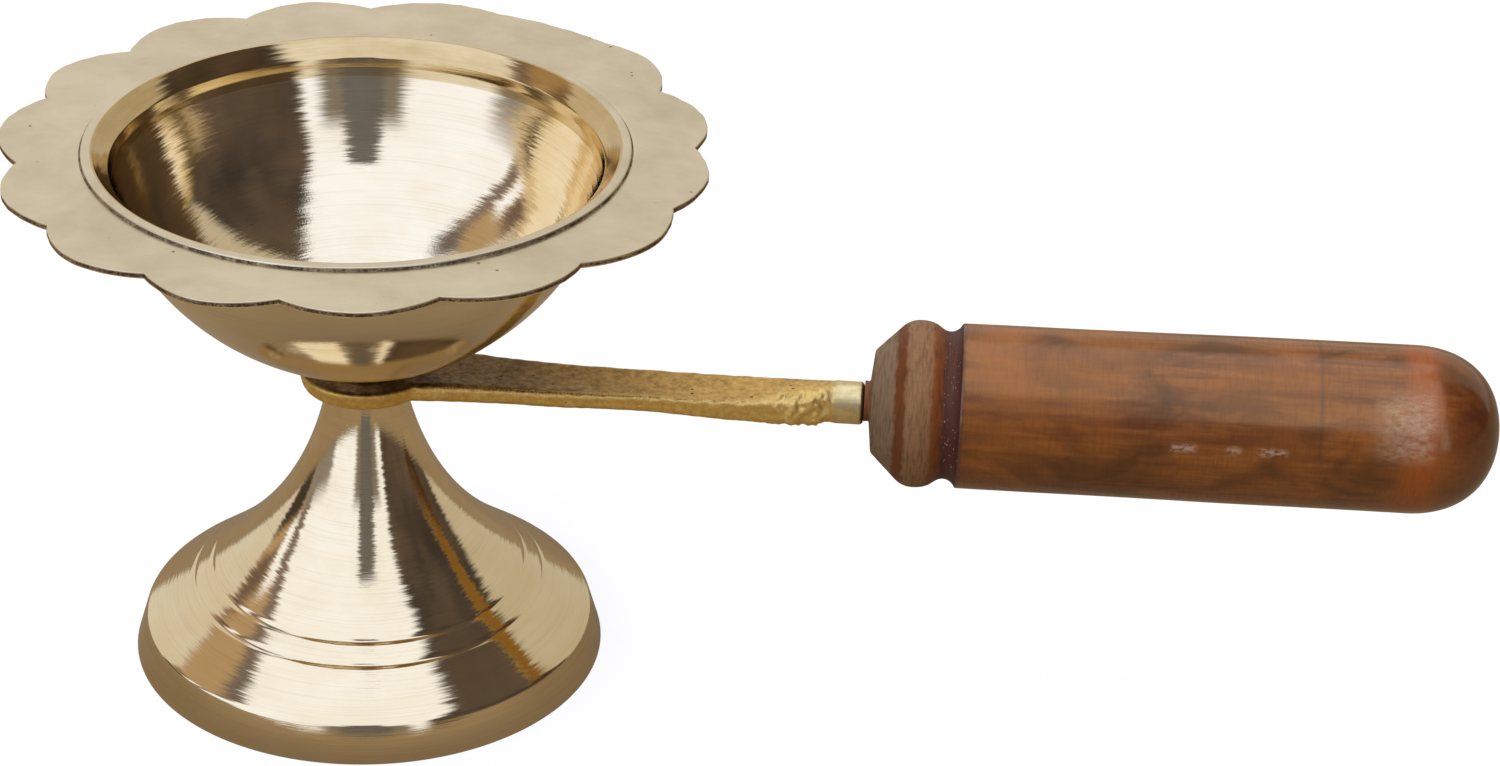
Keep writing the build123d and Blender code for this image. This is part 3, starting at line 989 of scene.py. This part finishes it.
def handle_profile():
    """Outline from the end of the bore round to the tip, as radius and distance from the collar."""
    rise = [(r, s) for s, r in arc(
        (COVE_BOTTOM[1], COVE_BOTTOM[0] + COVE_RADIUS), COVE_RADIUS, -90, -24, 10)]
    return joined(
        [(0, BORE_END)],
        straight((BORE_RADIUS, BORE_END), (BORE_RADIUS, 0.0), 4),
        eased([(BORE_RADIUS, 0.0, 0), (*NIB, 0.15), (*NIB_END, 0.25), (*FACE_END, 0.4), (*SHOULDER_LOW, 0)]),
        straight(SHOULDER_LOW, SHOULDER_TOP, 6),
        bezier(SHOULDER_TOP, *BEAD_PULLS, BEAD_TOP, 10),
        bezier(BEAD_TOP, *COVE_PULLS, COVE_BOTTOM, 16),
        rise,
        bezier(rise[-1], *EDGE_PULLS, BODY_START, 5),
        straight(BODY_START, BODY_END, 46),
        bezier(BODY_END, *DOME_PULLS, (0, TIP), 28),
    )


def handle_point(r, s, angle):
    """Point of the handle: a little uneven, and set into the arm with a slight tilt."""
    x = COLLAR_END + s
    around = Vector((0, math.cos(angle), math.sin(angle))) * HANDLE_WAVE_ROUND
    wave = noise.noise(Vector((x * HANDLE_WAVE_ALONG, 0, 0)) + around)
    point = lying(r + HANDLE_WAVE_PUSH * wave * smooth(*HANDLE_WAVE_RISE, r), x, angle)
    point.z += HANDLE_TILT * s
    return point


def rubbed(p):
    """How far the varnish has worn through at a point."""
    s = p.x - COLLAR_END
    up = (p.z - ARM_HEIGHT - HANDLE_TILT * s) / BODY_END[0]
    lengthwise = smooth(*RUBBED_RISE, s) * (1 - smooth(*RUBBED_FALL, s))
    upward = smooth(*RUBBED_LOW, up) * (1 - smooth(*RUBBED_HIGH, up))
    return lengthwise * upward * smooth(*RUBBED_FRONT, -p.y / BODY_END[0])


def handle_mesh():
    profile = handle_profile()

    def slot(i):
        return 1 if max(profile[i][1], profile[i + 1][1]) < BARE_END else 0

    obj = lathe("handle_wood", profile, HANDLE_SEGMENTS, handle_point, slot)
    marked(obj.data, "rubbed", [rubbed(v.co / MM) for v in obj.data.vertices])
    return obj


settle(handle_mesh(), "arm", "varnished_wood", "wooden_handle", WOOD, BARE_WOOD)

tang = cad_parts["handle_tang"]
tang.data.materials.clear()
tang.data.materials.append(TANG_STEEL)


# Camera, as fitted to the photograph

CAMERA_AT = Vector((75.36, -475.29, 311.52)) * MM
CAMERA_AIM = Vector((-0.0319, 0.8747, -0.4836)).normalized()
CAMERA_ROLL = math.radians(-2.34)
SENSOR_WIDTH = 36.0
LENS = 86.816


def add_camera():
    camera = linked("camera", bpy.data.cameras.new("camera"))
    camera.data.sensor_width = SENSOR_WIDTH
    camera.data.lens = LENS
    camera.data.clip_start = 0.01
    right = CAMERA_AIM.cross(Vector((0, 0, 1))).normalized()
    down = CAMERA_AIM.cross(right)
    turned_right = math.cos(CAMERA_ROLL) * right + math.sin(CAMERA_ROLL) * down
    turned_down = -math.sin(CAMERA_ROLL) * right + math.cos(CAMERA_ROLL) * down
    axes = Matrix((turned_right, -turned_down, -CAMERA_AIM)).transposed()
    camera.matrix_world = Matrix.Translation(CAMERA_AT) @ axes.to_4x4()
    bpy.context.scene.camera = camera


add_camera()


# Floor, studio and lights, in metres and watts

FLOOR_CORNERS = ((-4, -4, 0), (4, -4, 0), (4, 4, 0), (-4, 4, 0))
FLOOR_TONES = ((0.265, 0.19, 0.10), (0.305, 0.22, 0.118))
FLOOR_GLOW = (0.95, 1.015, 1.11)
GLOW_TO_CAMERA = 0.83
GLOW_IN_MIRRORS = 0.04

FLAG_OUTLINE = ((-0.05, 0.0), (0.17, 0.0), (0.15, 0.36), (0.145, 0.63), (-0.03, 0.63), (-0.04, 0.36))
FLAG_Y = -0.52
FLAG_TONES = ((0.12, 0.12, 0.14), (0.20, 0.20, 0.22))

# Softboxes: name, place, what it points at, width, height, power
SOFTBOXES = (
    ("softbox_front", (-0.25, -1.15, 1.15), (0.03, 0, 0.05), 0.75, 1.1, 5),
    ("softbox_top", (0.1, 0.25, 1.5), (0.05, 0, 0.04), 1.3, 0.9, 6),
)


def floor_material():
    """Paper that is white to the camera, still takes shadows, and shows warm in the metal."""
    g = Graph("floor_paper")
    paper = g.noise(g.place(), 0.02, 3.0, 0.5)
    shade = g.add("BsdfDiffuse", None, {"Color": g.mix(paper, *FLOOR_TONES)})
    rays = g.add("LightPath").outputs
    mirrored = g.math("MAXIMUM", rays["Is Glossy Ray"], rays["Is Transmission Ray"])
    seen = g.plus(g.times(rays["Is Camera Ray"], GLOW_TO_CAMERA), g.times(mirrored, GLOW_IN_MIRRORS))
    glow = g.add("Emission", None, {"Color": FLOOR_GLOW, "Strength": seen})
    return g.output(g.add("AddShader", None, {0: shade.outputs[0], 1: glow.outputs[0]}))


def flag_material():
    g = Graph("flag_cloth")
    cloth = g.noise(g.place(), 0.012, 3.0, 0.5)
    return g.output(g.add("Emission", None, {"Color": g.mix(cloth, *FLAG_TONES)}))


def staged(name, corners, material):
    """Flat card of the studio."""
    mesh = bpy.data.meshes.new(name)
    mesh.from_pydata(corners, [], [tuple(range(len(corners)))])
    mesh.materials.append(material)
    obj = linked(name, mesh)
    return obj


def softbox(name, at, aim, width, height, power):
    light = bpy.data.lights.new(name, "AREA")
    light.shape = "RECTANGLE"
    light.size = width
    light.size_y = height
    light.energy = power
    obj = linked(name, light)
    obj.location = at
    obj.rotation_euler = (Vector(aim) - Vector(at)).to_track_quat("-Z", "Y").to_euler()
    obj.visible_camera = False
    obj.visible_glossy = False


staged("floor", FLOOR_CORNERS, floor_material())
flag = staged("flag", [(x, FLAG_Y, z) for x, z in FLAG_OUTLINE], flag_material())
flag.visible_camera = False
flag.visible_diffuse = False
flag.visible_shadow = False
for box in SOFTBOXES:
    softbox(*box)

# The studio by direction, in degrees: azimuth is 0 in front and + towards +X, elevation is 0 at the horizon
FRONT_WHITE = (1.08, 1.19, 1.52)
FRONT_SPAN = (-110.0, 37.0)
BACK_LEFT = (0.74, 0.72, 0.69)
BACK_RIGHT = (0.58, 0.54, 0.47)
BACK_BLEND = (-5.0, 5.0)
CAMERA_WHITE = (1.0, 1.0, 1.0)
CAP_AXIS = Vector((0.2, -0.35, 0.91)).normalized()
CAP_EDGE = (math.cos(math.radians(34)), math.cos(math.radians(30)))
BEHIND_AZIMUTH = (146.0, 154.0)
BEHIND_ELEVATION = (46.0, 52.0)

# Panels that show in the metal: azimuth from and to, elevation from and to, softness, colour
PANELS = (
    (-110.0, -81.0, -90.0, 50.0, 2.0, (0.50, 0.37, 0.24)),
    (-108.0, -97.0, 20.0, 31.0, 2.0, (0.18, 0.13, 0.11)),
    (-88.0, -81.0, -90.0, 60.0, 2.0, (0.22, 0.18, 0.19)),
    (-97.0, -82.0, 47.0, 58.0, 2.5, (0.17, 0.15, 0.15)),
    (-95.5, -88.5, 14.0, 33.0, 1.5, FRONT_WHITE),
    (-92.0, -60.0, -90.0, 12.0, 4.0, (0.30, 0.28, 0.29)),
    (-109.0, -92.0, -90.0, 13.0, 2.0, (0.06, 0.05, 0.045)),
    (-14.0, 27.0, -90.0, 24.0, 3.0, (0.24, 0.22, 0.21)),
)

# Dark wall on the right, with one rounded upper corner: its centre and half axes, and where it ends
WALL_CENTRE = (96.0, 30.0)
WALL_REACH = (60.0, 37.0)
WALL_EDGE = (0.96, 1.02)
WALL_END = (114.0, 119.0)
WALL_TONES = ((0.050, 0.043, 0.040), (0.125, 0.095, 0.080))


def studio_world():
    """White studio in front, warm walls behind, and a few dark panels that show in the polished metal."""
    world = bpy.data.worlds.new("studio")
    bpy.context.scene.world = world
    g = Graph("studio", world)
    direction = g.add("TexCoord").outputs["Generated"]
    x, y, z = g.parts(direction)
    azimuth = g.math("DEGREES", g.math("ARCTAN2", x, g.times(y, -1.0)))
    elevation = g.math("DEGREES", g.math("ARCSINE", z))
    colour = g.mix(g.range(azimuth, *BACK_BLEND), BACK_LEFT, BACK_RIGHT)
    colour = g.mix(g.between(azimuth, *FRONT_SPAN, 2.0), colour, FRONT_WHITE)
    cap = g.add("VectorMath", {"operation": "DOT_PRODUCT"}, {0: direction, 1: CAP_AXIS}).outputs["Value"]
    colour = g.mix(g.range(cap, *CAP_EDGE), colour, FRONT_WHITE)
    behind = g.times(
        g.range(g.math("ABSOLUTE", azimuth), *BEHIND_AZIMUTH), g.range(elevation, *BEHIND_ELEVATION))
    colour = g.mix(behind, colour, FRONT_WHITE)
    for left, right, low, high, soft, shade in PANELS:
        inside = g.times(g.between(azimuth, left, right, soft), g.between(elevation, low, high, soft))
        colour = g.mix(inside, colour, shade)
    across = g.math("MINIMUM", g.math("SUBTRACT", azimuth, WALL_CENTRE[0]), 0.0)
    across = g.math("DIVIDE", across, WALL_REACH[0])
    height = g.math("MAXIMUM", g.math("SUBTRACT", elevation, WALL_CENTRE[1]), 0.0)
    height = g.math("DIVIDE", height, WALL_REACH[1])
    reach = g.math("SQRT", g.plus(g.times(across, across), g.times(height, height)))
    wall = g.times(g.range(reach, *WALL_EDGE, 1.0, 0.0), g.range(azimuth, *WALL_END, 1.0, 0.0))
    colour = g.mix(wall, colour, g.mix(g.range(g.noise(direction, 3.0, 3.0), 0.35, 0.65), *WALL_TONES))
    colour = g.mix(g.add("LightPath").outputs["Is Camera Ray"], colour, CAMERA_WHITE)
    g.output(g.add("Background", None, {"Color": colour}), "OutputWorld")


studio_world()
bpy.context.scene.view_settings.view_transform = "Standard"
